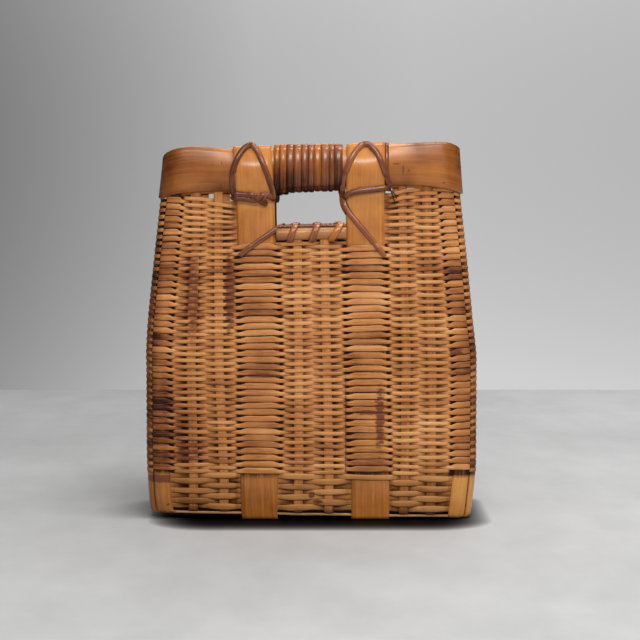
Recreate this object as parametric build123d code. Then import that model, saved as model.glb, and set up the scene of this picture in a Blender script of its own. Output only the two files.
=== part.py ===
from build123d import *
import math
import os

# Open-topped bamboo hand basket. Millimetres, +Z up. The origin is on the floor, under the
# middle of the basket. The wide faces look along -Y (front) and +Y (back), the narrow ones
# along -X (left) and +X (right).

os.makedirs("parts", exist_ok=True)

# ---- driving dimensions ---------------------------------------------------------------

# Body, measured to the outside of the weave at the middle of each face.
belly_half_width = 194.5
neck_half_width = 177.0
base_half_width = 180.5
belly_half_depth = 104.0
neck_half_depth = 92.0
base_half_depth = 96.0
belly_low_z = 82.0
belly_high_z = 198.0
neck_taper_power = 1.25
belly_bow = 5.0
neck_bow = 0.5
corner_radius = 20.0

# Weave: flat strips, 1.2 mm thick, one round above the other.
weave_bottom_z = 12.0
border_top_z = 56.0
weave_top_z = 372.0
strip_thickness = 1.2
row_pitch = 7.48
row_height = 6.7
border_row_count = 4
border_row_height = 7.4

# Upright stakes and the two broad runners.
stake_thickness = 2.6
narrow_stake_width = 9.0
corner_stake_width_low = 20.8
corner_stake_width_high = 15.0
corner_split_angle = 38.0
stake_lean_share = 0.5
inner_pair_x = 16.0
outer_stake_near_x = 108.0
outer_stake_far_x = 139.0
side_stake_spacing = 33.0
stake_in_rim = 34.0
runner_width = 44.0
runner_centre_x = 63.0
runner_bare_from_z = 317.0
runner_tuck_depth = 46.0
runner_foot_radius = 5.2

# Rim: a broad convex band outside the stakes and a plain band inside them.
rim_middle_z = 407.5
rim_height = 53.0
rim_rise_per_mm = 0.0218
rim_edge_thickness = 3.2
rim_crown = 6.0
rim_inner_thickness = 3.0

# Rattan binding of the grips and rattan laces.
grip_turn_count = 13
grip_turn_pitch = 6.2
grip_turn_width = 5.9
rattan_thickness = 2.6
lace_width = 5.2

# Sill under each hand hole.
sill_bottom_z = 324.0
sill_height = 16.0
sill_depth = 6.5
sill_filler_height = 3.6
sill_tie_count = 3
sill_tie_width = 5.6
sill_tie_thickness = 1.8

# Base.
runner_bottom_z = 0.0
base_slat_thickness = 2.2
base_slat_width = 24.0
base_slat_count = 5
base_slat_pitch = 33.0
base_mat_thickness = 3.0
base_hoop_width = 3.0
base_hoop_height = 6.0
corner_return = 12.0

# Clearance between pieces that lie against each other.
fit_gap = 0.3

# ---- places worked out from them ------------------------------------------------------

# Insets count inward from the outside of the weave.
stake_outer = strip_thickness + fit_gap
stake_inner = stake_outer + stake_thickness
lining_outer = stake_inner + fit_gap
lining_inner = lining_outer + strip_thickness
rim_inner_face = lining_outer + rim_inner_thickness

base_slat_z = runner_bottom_z + stake_thickness + fit_gap
base_mat_z = base_slat_z + base_slat_thickness + fit_gap
base_hoop_top_z = base_mat_z + base_hoop_height
rim_top_z = rim_middle_z + rim_height / 2
rim_bottom_z = rim_middle_z - rim_height / 2
rim_flat_y = neck_half_depth - stake_outer + fit_gap + rim_edge_thickness
grip_back_y = neck_half_depth - rim_inner_face
runner_inner_x = runner_centre_x - runner_width / 2
runner_outer_x = runner_centre_x + runner_width / 2
sill_top_z = sill_bottom_z + sill_height
reach = 3 * belly_half_width
front = -1
back = 1
left = -1
right = 1


def body_size(z, base, belly, neck):
    """A half width, half depth or bow of the body at height z."""
    if z < belly_low_z:
        below = (belly_low_z - z) / belly_low_z
        return belly - (belly - base) * below**2
    if z > belly_high_z:
        above = min((z - belly_high_z) / (weave_top_z - belly_high_z), 1.0)
        return belly - (belly - neck) * above**neck_taper_power
    return belly


def half_width(z):
    return body_size(z, base_half_width, belly_half_width, neck_half_width)


def half_depth(z):
    return body_size(z, base_half_depth, belly_half_depth, neck_half_depth)


def bow(z):
    return body_size(z, belly_bow, belly_bow, neck_bow)


def bowed_rectangle(width, depth, swell, radius):
    """A rounded rectangle whose four sides swell outward."""
    x = width - swell
    y = depth - swell
    sides = [
        ThreePointArc((-x, -y), (0, -depth), (x, -y)),
        ThreePointArc((x, -y), (width, 0), (x, y)),
        ThreePointArc((x, y), (0, depth), (-x, y)),
        ThreePointArc((-x, y), (-width, 0), (-x, -y)),
    ]
    face = make_face(Wire(sides))
    return fillet(face.vertices(), radius)


def plan(z, inset):
    """The body's plan at height z, moved inward by inset."""
    section = bowed_rectangle(
        half_width(z) - inset, half_depth(z) - inset, bow(z), corner_radius - inset
    )
    return Pos(0, 0, z) * section


def levels(low, high):
    """Heights between which the body is ruled straight."""
    lower = [weave_bottom_z] + [belly_low_z * share for share in (0.4, 0.7, 1)]
    upper = [belly_high_z + (weave_top_z - belly_high_z) * share for share in (0, 0.35, 0.7, 1)]
    inside = [z for z in lower + upper if low + 1 < z < high - 1]
    return [low] + inside + [high]


def filled(inset, low, high):
    """The body as one solid block between two heights."""
    return loft([plan(z, inset) for z in levels(low, high)], ruled=True)


def layer(outer, inner, low, high):
    """One layer of the wall, between two insets and two heights."""
    return filled(outer, low, high) - filled(inner, low - 1, high + 1)


def stake_centre(place, z, lean):
    """How a stake placed at the belly leans with the wall."""
    return place * (1 - lean * (1 - half_width(z) / belly_half_width))


def leaning_prism(inside, outside, low, high):
    """A prism through the basket along Y, between two edge lines given as functions of z."""
    heights = levels(low, high)
    points = [(outside(z), z) for z in heights] + [(inside(z), z) for z in reversed(heights)]
    face = Plane.XZ * make_face(Polyline(*points, close=True))
    return extrude(face, reach / 2, both=True)


def stake_prism(place, low, high, width, lean=stake_lean_share):
    return leaning_prism(
        lambda z: stake_centre(place, z, lean) - width / 2,
        lambda z: stake_centre(place, z, lean) + width / 2,
        low,
        high,
    )


def block(x, y, z):
    """A box given by its (low, high) pairs."""
    size = [b - a for a, b in (x, y, z)]
    centre = [(a + b) / 2 for a, b in (x, y, z)]
    return Pos(*centre) * Box(*size)


def half_space(face):
    """Everything on the front or the back side of the basket."""
    return block((-reach, reach), sorted((0, face * reach)), (-reach, reach))


def lateral(side):
    """Everything on the left or the right side of the basket."""
    return block(sorted((0, side * reach)), (-reach, reach), (-reach, reach))


def save(name, pieces):
    solids = [solid for piece in pieces for solid in piece.solids()]
    group = solids[0] if len(solids) == 1 else Compound(children=solids)
    export_step(group, f"parts/{name}.step")


def face_name(face):
    return "front" if face == front else "back"


def side_name(side):
    return "left" if side == left else "right"


# ---- base -----------------------------------------------------------------------------

base_hoop = layer(lining_outer, lining_outer + base_hoop_width, base_mat_z, base_hoop_top_z)
save("base_hoop", [base_hoop])

base_mat = filled(
    lining_outer + base_hoop_width + fit_gap, base_mat_z, base_mat_z + base_mat_thickness
)
save("base_mat", [base_mat])

base_slat_half_length = base_half_width - corner_return - fit_gap - stake_outer
base_slats = [
    block(
        (-base_slat_half_length, base_slat_half_length),
        (y - base_slat_width / 2, y + base_slat_width / 2),
        (base_slat_z, base_slat_z + base_slat_thickness),
    )
    for y in [base_slat_pitch * (i - (base_slat_count - 1) / 2) for i in range(base_slat_count)]
]
save("base_slats", base_slats)

# ---- stakes ---------------------------------------------------------------------------

stake_top_z = rim_bottom_z + stake_in_rim
stake_layer = layer(stake_outer, stake_inner, weave_bottom_z, stake_top_z)

# Under the corners the stakes turn in beneath the base.
corner_layer = filled(stake_outer, base_slat_z, stake_top_z) - filled(
    stake_inner, base_slat_z + base_slat_thickness, stake_top_z + 1
)


def corner_edge(size, z):
    """The edge of a corner stake that lies beside the corner's diagonal."""
    return size(z) - bow(z) - corner_radius * (1 - math.sin(math.radians(corner_split_angle)))


def corner_width(z):
    share = z / stake_top_z
    return corner_stake_width_low * (1 - share) + corner_stake_width_high * share


def corner_prism(size):
    return leaning_prism(
        lambda z: corner_edge(size, z) - corner_width(z),
        lambda z: corner_edge(size, z),
        base_slat_z,
        stake_top_z,
    )


wide_corner = corner_prism(half_width)
narrow_corner = Rot(0, 0, 90) * corner_prism(half_depth)
wide_return_y = base_half_depth - stake_outer - corner_return
narrow_return_x = base_half_width - stake_outer - corner_return

for face in (front, back):
    for side in (left, right):
        beside_x = sorted((side * narrow_return_x, side * reach))
        beside_y = sorted((face * wide_return_y, face * reach))
        everywhere = (-reach, reach)
        turned = wide_corner if side == right else mirror(wide_corner, about=Plane.YZ)
        on_wide_face = corner_layer & turned & block(everywhere, beside_y, everywhere)
        raised = narrow_corner if face == back else mirror(narrow_corner, about=Plane.XZ)
        on_narrow_face = corner_layer & raised & block(beside_x, everywhere, everywhere)
        save(
            f"{face_name(face)}_{side_name(side)}_corner_stakes",
            [on_wide_face, on_narrow_face],
        )

under_sill_top_z = sill_top_z - fit_gap
for face in (front, back):
    wall = stake_layer & half_space(face)
    stakes = []
    for side in (left, right):
        for place, top in (
            (inner_pair_x, under_sill_top_z),
            (outer_stake_near_x, stake_top_z),
            (outer_stake_far_x, stake_top_z),
        ):
            stakes.append(wall & stake_prism(side * place, weave_bottom_z, top, narrow_stake_width))
    save(f"{face_name(face)}_stakes", stakes)

for side in (left, right):
    wall = stake_layer & lateral(side)
    stakes = []
    for step in (-1, 0, 1):
        prism = stake_prism(
            step * side_stake_spacing, weave_bottom_z, stake_top_z, narrow_stake_width
        )
        stakes.append(wall & Rot(0, 0, 90) * prism)
    save(f"{side_name(side)}_stakes", stakes)

# ---- rim ------------------------------------------------------------------------------

rim_direction = Vector(1, 0, rim_rise_per_mm).normalized()


def barrel(outside, height):
    """A block through the rim whose front and back are crowned; it rises gently to the right."""
    flat_y = rim_flat_y + outside
    crown_y = flat_y + rim_crown
    top = rim_middle_z + height / 2
    bottom = rim_middle_z - height / 2
    outline = [
        ThreePointArc((-flat_y, bottom), (-crown_y, rim_middle_z), (-flat_y, top)),
        Line((-flat_y, top), (flat_y, top)),
        ThreePointArc((flat_y, top), (crown_y, rim_middle_z), (flat_y, bottom)),
        Line((flat_y, bottom), (-flat_y, bottom)),
    ]
    face = Plane.YZ * make_face(Wire(outline))
    return extrude(face, reach, dir=rim_direction, both=True)


def rim_plan(inset, crown):
    """A tall block with the rim's plan."""
    section = bowed_rectangle(
        neck_half_width - inset, neck_half_depth - inset + crown, neck_bow, corner_radius - inset
    )
    return Pos(0, 0, weave_top_z) * extrude(section, 2 * rim_height)


band_inner_face = stake_outer - fit_gap
band_outer_face = band_inner_face - rim_edge_thickness
rim_outer_band = (rim_plan(band_outer_face, rim_crown) & barrel(0, rim_height)) - rim_plan(
    band_inner_face, 0
)
save("rim_outer_band", [rim_outer_band])

rim_inner_band = (rim_plan(lining_outer, 0) & barrel(0, rim_height)) - rim_plan(rim_inner_face, 0)
save("rim_inner_band", [rim_inner_band])


def rim_section(clear, top_z, bottom_z):
    """The outline round both bands where the grip is, in the front's YZ plane."""
    flat_y = -(rim_flat_y + clear)
    crown_y = flat_y - rim_crown
    inner_y = -(grip_back_y - clear)
    return make_face(
        Wire(
            [
                ThreePointArc((flat_y, bottom_z), (crown_y, rim_middle_z), (flat_y, top_z)),
                Line((flat_y, top_z), (inner_y, top_z)),
                Line((inner_y, top_z), (inner_y, bottom_z)),
                Line((inner_y, bottom_z), (flat_y, bottom_z)),
            ]
        )
    )


binding_outer = fit_gap + rattan_thickness
turn_ring = rim_section(
    binding_outer, rim_top_z + binding_outer, rim_bottom_z - binding_outer
) - rim_section(fit_gap, rim_top_z + fit_gap, rim_bottom_z - fit_gap)
turn_ring = Plane.YZ * turn_ring


def face_mirror(piece, face):
    """A piece made for the front, or its twin on the back."""
    return piece if face == front else mirror(piece, about=Plane.XZ)


def rise(x):
    return x * rim_rise_per_mm


grip_centre_turn = (grip_turn_count - 1) / 2
for face in (front, back):
    turns = []
    for i in range(grip_turn_count):
        x = (i - grip_centre_turn) * grip_turn_pitch
        turn = extrude(turn_ring, grip_turn_width / 2, dir=rim_direction, both=True)
        turns.append(face_mirror(Pos(x, 0, rise(x)) * turn, face))
    save(f"{face_name(face)}_grip_binding", turns)

# ---- runners --------------------------------------------------------------------------

runner_join_z = weave_top_z - 10
runner_join_y = half_depth(runner_join_z)
runner_shoulder_z = rim_bottom_z - 2
fold_near = fit_gap
fold_far = fit_gap + stake_thickness


def fold_profile():
    """The runner's end, from the wall out over the rim and down inside it."""
    flat_near = -(rim_flat_y + fold_near)
    flat_far = -(rim_flat_y + fold_far)
    back_near = -(grip_back_y - fold_near)
    back_far = -(grip_back_y - fold_far)
    tuck_z = rim_top_z - runner_tuck_depth
    wall_far = -(runner_join_y - stake_outer)
    wall_near = -(runner_join_y - stake_inner)
    top_near = rim_top_z + fold_near
    top_far = rim_top_z + fold_far
    return make_face(
        Wire(
            [
                Line((back_far, tuck_z), (back_far, top_far)),
                Line((back_far, top_far), (flat_far, top_far)),
                ThreePointArc(
                    (flat_far, top_far),
                    (flat_far - rim_crown, rim_middle_z),
                    (flat_far, runner_shoulder_z),
                ),
                Line((flat_far, runner_shoulder_z), (wall_far, runner_join_z)),
                Line((wall_far, runner_join_z), (wall_near, runner_join_z)),
                Line((wall_near, runner_join_z), (flat_near, runner_shoulder_z)),
                ThreePointArc(
                    (flat_near, runner_shoulder_z),
                    (flat_near - rim_crown, rim_middle_z),
                    (flat_near, top_near),
                ),
                Line((flat_near, top_near), (back_near, top_near)),
                Line((back_near, top_near), (back_near, tuck_z)),
                Line((back_near, tuck_z), (back_far, tuck_z)),
            ]
        )
    )


def foot_profile():
    """The runner's middle, turned under the base with a rounded heel at each end."""
    leg_z = weave_bottom_z + fit_gap
    outer_top = half_depth(leg_z) - stake_outer
    outer_low = base_half_depth - stake_outer
    inner_top = outer_top - stake_thickness
    inner_low = outer_low - stake_thickness
    low = runner_bottom_z
    high = low + stake_thickness
    outer = FilletPolyline(
        (-outer_top, leg_z), (-outer_low, low), (outer_low, low), (outer_top, leg_z),
        radius=runner_foot_radius,
    )
    inner = FilletPolyline(
        (inner_top, leg_z), (inner_low, high), (-inner_low, high), (-inner_top, leg_z),
        radius=runner_foot_radius - stake_thickness,
    )
    ends = [outer @ 1, inner @ 0, inner @ 1, outer @ 0]
    return make_face(outer.edges() + inner.edges() + [Line(*ends[:2]), Line(*ends[2:])])


fold = extrude(Plane.YZ * fold_profile(), runner_width / 2, dir=rim_direction, both=True)
foot = extrude(Plane.YZ * foot_profile(), runner_width / 2, both=True)
runner_scarf_z = runner_join_z + 2 * rise(runner_outer_x)
runner_wall_layer = layer(stake_outer, stake_inner, weave_bottom_z, runner_scarf_z)
for side in (left, right):
    x = side * runner_centre_x
    runner = runner_wall_layer & stake_prism(
        x, weave_bottom_z, runner_scarf_z, runner_width, lean=0
    )
    runner += Pos(x, 0, 0) * foot
    for face in (front, back):
        runner += face_mirror(Pos(x, 0, rise(x)) * fold, face)
    save(f"{side_name(side)}_runner", [runner])

# ---- sills ----------------------------------------------------------------------------

sill_half_length = runner_inner_x - fit_gap
sill_wall_y = half_depth(sill_bottom_z)


def half_round(flat_y, toward):
    """One half of the sill: a half-round slat with its flat face at flat_y."""
    middle = (sill_bottom_z + sill_top_z) / 2
    outline = [
        Line((flat_y, sill_bottom_z), (flat_y, sill_top_z)),
        ThreePointArc(
            (flat_y, sill_top_z), (flat_y + toward * sill_depth, middle), (flat_y, sill_bottom_z)
        ),
    ]
    return extrude(Plane.YZ * make_face(Wire(outline)), sill_half_length, both=True)


sill_outer_y = -(sill_wall_y - stake_outer + fit_gap)
sill_inner_y = -(half_depth(sill_top_z) - stake_inner - fit_gap)
outer_half = half_round(sill_outer_y, -1)
inner_half = half_round(sill_inner_y, 1)

filler_low = sill_top_z + fit_gap
sill_filler = block(
    (-sill_half_length, sill_half_length),
    (sill_outer_y - sill_depth / 2, sill_inner_y + sill_depth / 2),
    (filler_low, filler_low + sill_filler_height),
)

tie_reach = fit_gap + sill_depth
tie_hole = [
    (sill_outer_y - tie_reach, sill_inner_y + tie_reach),
    (sill_bottom_z - fit_gap, filler_low + sill_filler_height + fit_gap),
]
tie_outside = [
    (low - sill_tie_thickness, high + sill_tie_thickness) for low, high in tie_hole
]
tie_pitch = 2 * sill_half_length / sill_tie_count
sill_ties = []
for i in range(sill_tie_count):
    x = (i - (sill_tie_count - 1) / 2) * tie_pitch
    span = (x - sill_tie_width / 2, x + sill_tie_width / 2)
    sill_ties.append(block(span, *tie_outside) - block(span, *tie_hole))

for face in (front, back):
    name = face_name(face)
    save(f"{name}_sill", [face_mirror(outer_half, face), face_mirror(inner_half, face)])
    save(f"{name}_sill_filler", [face_mirror(sill_filler, face)])
    save(f"{name}_sill_ties", [face_mirror(tie, face) for tie in sill_ties])

# ---- weave ----------------------------------------------------------------------------

window_bottom_z = sill_bottom_z - fit_gap - sill_tie_thickness - fit_gap
window_half_width = runner_outer_x + fit_gap
hand_window = block(
    (-runner_inner_x, runner_inner_x), (-reach, reach), (window_bottom_z, reach)
)
runner_window = block(
    (-window_half_width, window_half_width), (-reach, reach), (runner_bare_from_z, reach)
)

# The lining lies in flat panels and rounded corners, each of them nearly convex.
lining_bottom_z = base_hoop_top_z + fit_gap
across = (-reach, reach)


def flat_part(size, clear):
    """A prism through the flat parts of two opposite walls."""

    def edge(z):
        return size(z) - bow(z) - corner_radius + clear

    return leaning_prism(lambda z: -edge(z), edge, lining_bottom_z, weave_top_z)


lining = layer(lining_outer, lining_inner, lining_bottom_z, weave_top_z) - hand_window
for z in (belly_low_z, belly_high_z):
    lining -= block(across, across, (z, z + fit_gap))
for x in (-runner_inner_x, runner_inner_x):
    lining -= block((x, x + fit_gap), across, (belly_high_z, window_bottom_z))
wide_panels = lining & flat_part(half_width, 0)
narrow_panels = lining & (Rot(0, 0, 90) * flat_part(half_depth, 0))
corners = lining - flat_part(half_width, fit_gap)
corners -= Rot(0, 0, 90) * flat_part(half_depth, fit_gap)
for face in (front, back):
    save(f"{face_name(face)}_weave_lining", [wide_panels & half_space(face)])
for side in (left, right):
    panels = [piece & lateral(side) for piece in (narrow_panels, corners)]
    save(f"{side_name(side)}_weave_lining", panels)


def stack_gaps(low, high, count, height):
    """The spaces between the rounds of a stack that fills the height from low to high."""
    pitch = (high - low) / count
    gaps = []
    for i in range(count):
        top = low + i * pitch + height
        gaps.append(block(across, across, (top, low + (i + 1) * pitch)))
    return gaps


row_count = int((weave_top_z - border_top_z) / row_pitch)
rows = layer(0, strip_thickness, border_top_z, weave_top_z) - runner_window
rows = rows - stack_gaps(border_top_z, weave_top_z, row_count, row_height)
third = (weave_top_z - border_top_z) / 3
for name, step in (("lower", 0), ("middle", 1), ("upper", 2)):
    low = border_top_z + step * third
    group = [row for row in rows.solids() if low < row.center().Z < low + third]
    save(f"weave_rows_{name}", group)

# The border rows stop at the runners and at the corner stakes, which lie bare there.
bare = [
    block(
        sorted((side * (runner_inner_x - fit_gap), side * (runner_outer_x + fit_gap))),
        across,
        across,
    )
    for side in (left, right)
]
corner_reach = bow(weave_bottom_z) + corner_radius + corner_stake_width_low / 2
bare_corner_x = half_width(weave_bottom_z) - corner_reach
bare_corner_y = half_depth(weave_bottom_z) - corner_reach
for face in (front, back):
    for side in (left, right):
        bare.append(
            block(
                sorted((side * bare_corner_x, side * reach)),
                sorted((face * bare_corner_y, face * reach)),
                across,
            )
        )
border = layer(0, strip_thickness, weave_bottom_z, border_top_z) - bare
border = border - stack_gaps(weave_bottom_z, border_top_z, border_row_count, border_row_height)
save("border_rows", [border])

# ---- laces ----------------------------------------------------------------------------

lace_near = fold_far + fit_gap
lace_far = lace_near + rattan_thickness
over_rim = barrel(lace_far, rim_height + 2 * lace_far) - barrel(
    lace_near, rim_height + 2 * fold_far
)
over_wall = layer(
    -fit_gap - rattan_thickness, -fit_gap, window_bottom_z - 20, weave_top_z
)


def strip_polygon(points):
    """A band of lace width that follows points in the XZ plane, as a prism along Y."""
    prism = None
    for start, end in zip(points, points[1:]):
        length = math.dist(start, end)
        angle = math.degrees(math.atan2(end[1] - start[1], end[0] - start[0]))
        middle = [(a + b) / 2 for a, b in zip(start, end)]
        bar = Pos(middle[0], 0, middle[1]) * Rot(0, -angle, 0) * Box(length, reach, lace_width)
        prism = bar if prism is None else prism + bar
    return prism


leg_foot_z = rim_bottom_z + lace_width
cross_high_z = runner_shoulder_z - 2 * fit_gap
cross_low_z = cross_high_z - lace_width
cross_near_y = rim_flat_y + lace_near
cross_far_y = cross_near_y + rattan_thickness
cross_end_y = half_depth(cross_low_z) + fit_gap
cross_half_width = runner_width / 2 + fit_gap + rattan_thickness


def cross_lace(x, face):
    """The lace across the runner under the rim, with its two ends turned in beside it."""
    across_x = (x - cross_half_width, x + cross_half_width)
    height = (cross_low_z + rise(x), cross_high_z + rise(x))
    bar = block(across_x, (-cross_far_y, -cross_end_y), height)
    between = (x - runner_width / 2 - fit_gap, x + runner_width / 2 + fit_gap)
    bar -= block(between, (-cross_near_y, -cross_end_y), height)
    return face_mirror(bar, face)


for face in (front, back):
    for side in (left, right):
        apex = (side * runner_centre_x, rim_top_z + rise(side * runner_centre_x))
        foot_out = (side * (runner_outer_x + lace_width / 2), leg_foot_z)
        foot_in = (side * (runner_inner_x + lace_width), leg_foot_z)
        peak = over_rim & half_space(face) & strip_polygon([foot_out, apex, foot_in])
        start = (side * (runner_inner_x + lace_width / 2), sill_top_z)
        end = (side * runner_outer_x, runner_bare_from_z - 2 * row_pitch)
        diagonal = over_wall & half_space(face) & strip_polygon([start, end])
        cross = cross_lace(side * runner_centre_x, face)
        save(f"{face_name(face)}_{side_name(side)}_lacing", [peak, cross, diagonal])
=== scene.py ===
"""A woven bamboo hand basket: broad rim, bound grips, runners under the base, plain weave.

Lengths are in millimetres until a mesh is built: z up, -y out of the front, +x to its right."""

import math

import bpy
import numpy as np
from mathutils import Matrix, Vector


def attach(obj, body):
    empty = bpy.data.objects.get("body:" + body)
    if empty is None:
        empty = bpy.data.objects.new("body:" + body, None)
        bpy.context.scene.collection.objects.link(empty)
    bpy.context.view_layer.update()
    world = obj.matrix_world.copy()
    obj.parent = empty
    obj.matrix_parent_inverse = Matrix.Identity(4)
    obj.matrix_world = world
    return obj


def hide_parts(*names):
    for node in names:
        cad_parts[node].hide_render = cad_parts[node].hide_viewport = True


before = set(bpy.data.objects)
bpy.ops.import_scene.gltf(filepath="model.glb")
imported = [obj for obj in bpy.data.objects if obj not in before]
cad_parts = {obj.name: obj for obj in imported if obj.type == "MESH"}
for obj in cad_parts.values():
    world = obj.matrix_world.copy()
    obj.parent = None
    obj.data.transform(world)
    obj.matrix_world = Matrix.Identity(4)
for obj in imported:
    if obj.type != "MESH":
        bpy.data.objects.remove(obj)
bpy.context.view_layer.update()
MM = 0.001
rng = np.random.default_rng(11)

# ---- the basket's sizes ----

# Half widths, half depths and the faces' outward bow, at the belly, the neck and the base.
BELLY_WIDE, NECK_WIDE, BASE_WIDE = 195.8, 175.2, 190.6
BELLY_DEEP, NECK_DEEP, BASE_DEEP = 104.0, 92.0, 96.0
BELLY_BOW, NECK_BOW = 5.0, 0.5
BELLY_LOW, BELLY_HIGH, WEAVE_TOP = 82.0, 190.0, 372.0
CORNER = 20.0
RIM_TAPER = 0.12

# A slat's thickness, and its two faces' places, measured inwards from the wall's line.
SLAT, STAKE_OUT, STAKE_IN = 2.6, 1.5, 4.1
STAKE_MIDDLE = (STAKE_OUT + STAKE_IN) / 2
STAKE_TOP = 412.0
STAKE_HALF, RUNNER_HALF = 5.3, 22.0

# The rounds of weave. Above BARE_Z the runners are bare.
BORDER_LOW, BORDER_PITCH, BORDER_ROWS = 11.5, 6.1, 7
FINE_LOW = BORDER_LOW + BORDER_PITCH * BORDER_ROWS
FINE_PITCH, FINE_ROWS = 3.83, 85
BARE_Z = 317.0
SILL_LOW, SILL_HIGH = 324.0, 340.0
SILL_MIDDLE = (SILL_LOW + SILL_HIGH) / 2

RIM_MIDDLE, RIM_HEIGHT, RIM_RISE = 407.5, 53.0, 0.0218
RIM_TOP, RIM_BOTTOM = RIM_MIDDLE + RIM_HEIGHT / 2, RIM_MIDDLE - RIM_HEIGHT / 2
RIM_CROWN = 6.0
RIM_FLAT_Y, GRIP_BACK_Y = 94.0, 84.6

# A runner leaves the weave at JOIN_Z, lies on the rim from SHOULDER_Z and folds over it at FOLD_Z.
# RUNNER_GAP is between it and the rim, and RUNNER_CROWN is how much its middle swells.
RUNNER_X, RUNNER_GAP, RUNNER_CROWN = 63, 0.3, 1.1
JOIN_Z, SHOULDER_Z, FOLD_Z = 362.0, 379.0, 436.0
RIM_RUNNER_Y = RIM_FLAT_Y + RUNNER_GAP + SLAT
HEEL, HEEL_TOP = 5.8, 6.4
FOOT_RADIUS, FOOT_LOW = 5.0, 4.0

# The uprights are numbered round the wall, from the first one right of the front's middle.
UPRIGHTS = 30
RUNNERS = (1, 13, 16, 28)
CORNERS = (4, 5, 9, 10, 19, 20, 24, 25)
SPREAD_OVER = RUNNERS + (4, 10, 19, 25)

# How far a stake, the runner and two more stakes stand from the front's middle, at three heights.
PLACE_Z = (36.0, 189.0, 352.0)
RIGHT_PLACES = ((20.9, 17.6, 14.5), (68.3, 64.3, 61.9), (107.9, 109.6, 105.0), (139.2, 139.3, 133.8))
LEFT_PLACES = ((14.4, 14.6, 16.6), (60.4, 58.5, 64.0), (100.5, 106.8, 107.3), (136.2, 139.0, 133.0))
SIDE_STEP = 33.0
WIDE_ARC, NARROW_ARC = math.radians(33) * CORNER, math.radians(41) * CORNER

FACES = (("front", -1), ("back", 1))


# ---- small tools ----


def ease(value, low, high):
    """Smooth step: 0 up to low and 1 past high. With low above high it falls from 1 to 0."""
    t = np.clip((np.asarray(value, float) - low) / (high - low), 0, 1)
    return t * t * (3 - 2 * t)


def stretch(low, high, steps):
    """Even steps from low to just before high."""
    return low + (high - low) * np.arange(steps) / steps


def quarter_turn(count):
    return [(math.sin(t), math.cos(t)) for t in np.linspace(0, math.pi / 2, count)]


def distance_along(points):
    return np.concatenate([[0], np.cumsum(np.linalg.norm(np.diff(points, axis=0), axis=1))])


def evenly(points, count, endpoint=True):
    """The same line, divided into even steps."""
    step = distance_along(points)
    at = np.linspace(0, step[-1], count, endpoint=endpoint)
    return joined(*(np.interp(at, step, column) for column in points.T))


def joined(*rows):
    """Rows of numbers, or single ones, side by side as points."""
    return np.stack(np.broadcast_arrays(*rows), -1)


# ---- the wall ----


def body_size(z, base, belly, neck):
    z = np.asarray(z, float)
    below = np.clip((BELLY_LOW - z) / BELLY_LOW, 0, None)
    above = np.clip((z - BELLY_HIGH) / (WEAVE_TOP - BELLY_HIGH), 0, 1)
    return belly - (belly - base) * below**2 - (belly - neck) * above**1.14


def half_width(z):
    taper = RIM_TAPER * np.clip(np.asarray(z, float) - WEAVE_TOP, 0, None)
    return body_size(z, BASE_WIDE, BELLY_WIDE, NECK_WIDE) - taper


def half_depth(z):
    return body_size(z, BASE_DEEP, BELLY_DEEP, NECK_DEEP)


def bow(z):
    return body_size(z, BELLY_BOW, BELLY_BOW, NECK_BOW)


def outline(z, inset):
    """The plan at height z: the flat parts' ends, the corner's centre and its two end angles."""
    wide, deep, swell = half_width(z) - inset, half_depth(z) - inset, bow(z)
    radius = np.maximum(CORNER - inset, 0.5)
    flat_x, flat_y = wide - swell, deep - swell
    end_x, tilt_y = flat_x - radius, 0.0
    for _ in range(4):
        tilt_x = np.arctan(2 * swell * end_x / flat_x**2)
        centre_y = -(deep - swell * (end_x / flat_x) ** 2) + radius * np.cos(tilt_x)
        end_y = -centre_y + radius * np.sin(tilt_y)
        tilt_y = np.arctan(2 * swell * end_y / flat_y**2)
        centre_x = wide - swell * (end_y / flat_y) ** 2 - radius * np.cos(tilt_y)
        end_x = centre_x + radius * np.sin(tilt_x)
    return wide, deep, swell, flat_x, flat_y, centre_x, centre_y, end_x, end_y, tilt_x, tilt_y, radius


def wall(sector, share, z, inset):
    """Points and outward directions on the wall.

    Sectors 0, 2, 4 and 6 are the front, right, back and left faces, with share from -1 to 1.
    Sectors 1, 3, 5 and 7 are the corners after them, with share from 0 to 1."""
    sector, share, z, inset = np.broadcast_arrays(sector, share, z, inset)
    plan = outline(z, inset)
    wide, deep, swell, flat_x, flat_y, centre_x, centre_y, end_x, end_y, tilt_x, tilt_y, radius = plan
    turned = np.where((sector == 3) | (sector == 7), 1 - share, share)
    low, high = -math.pi / 2 + tilt_x, -tilt_y
    angle = low + turned * (high - low)
    along_x, along_y = share * end_x, share * end_y
    slope_x, slope_y = 2 * swell * along_x / flat_x**2, 2 * swell * along_y / flat_y**2
    long_x, long_y = np.hypot(1, slope_x), np.hypot(1, slope_y)

    def pick(corner, front, side):
        return np.where(sector % 2 == 1, corner, np.where(sector % 4 == 0, front, side))

    x = pick(centre_x + radius * np.cos(angle), along_x, wide - swell * (along_y / flat_y) ** 2)
    y = pick(centre_y + radius * np.sin(angle), -(deep - swell * (along_x / flat_x) ** 2), along_y)
    nx = pick(np.cos(angle), slope_x / long_x, 1 / long_y)
    ny = pick(np.sin(angle), -1 / long_x, slope_y / long_y)
    mirror_x = np.where(sector >= 4, -1, 1)
    mirror_y = np.where((sector >= 3) & (sector <= 6), -1, 1)
    # The right edge leans in over the belly, and the foot sits a little to the left.
    aside = -1.5 * ease(z, 170, 240) * ease(x, 90, 165) - 1.0 * ease(z, 60, 20)
    return x * mirror_x + aside, y * mirror_y, nx * mirror_x, ny * mirror_y


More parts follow.
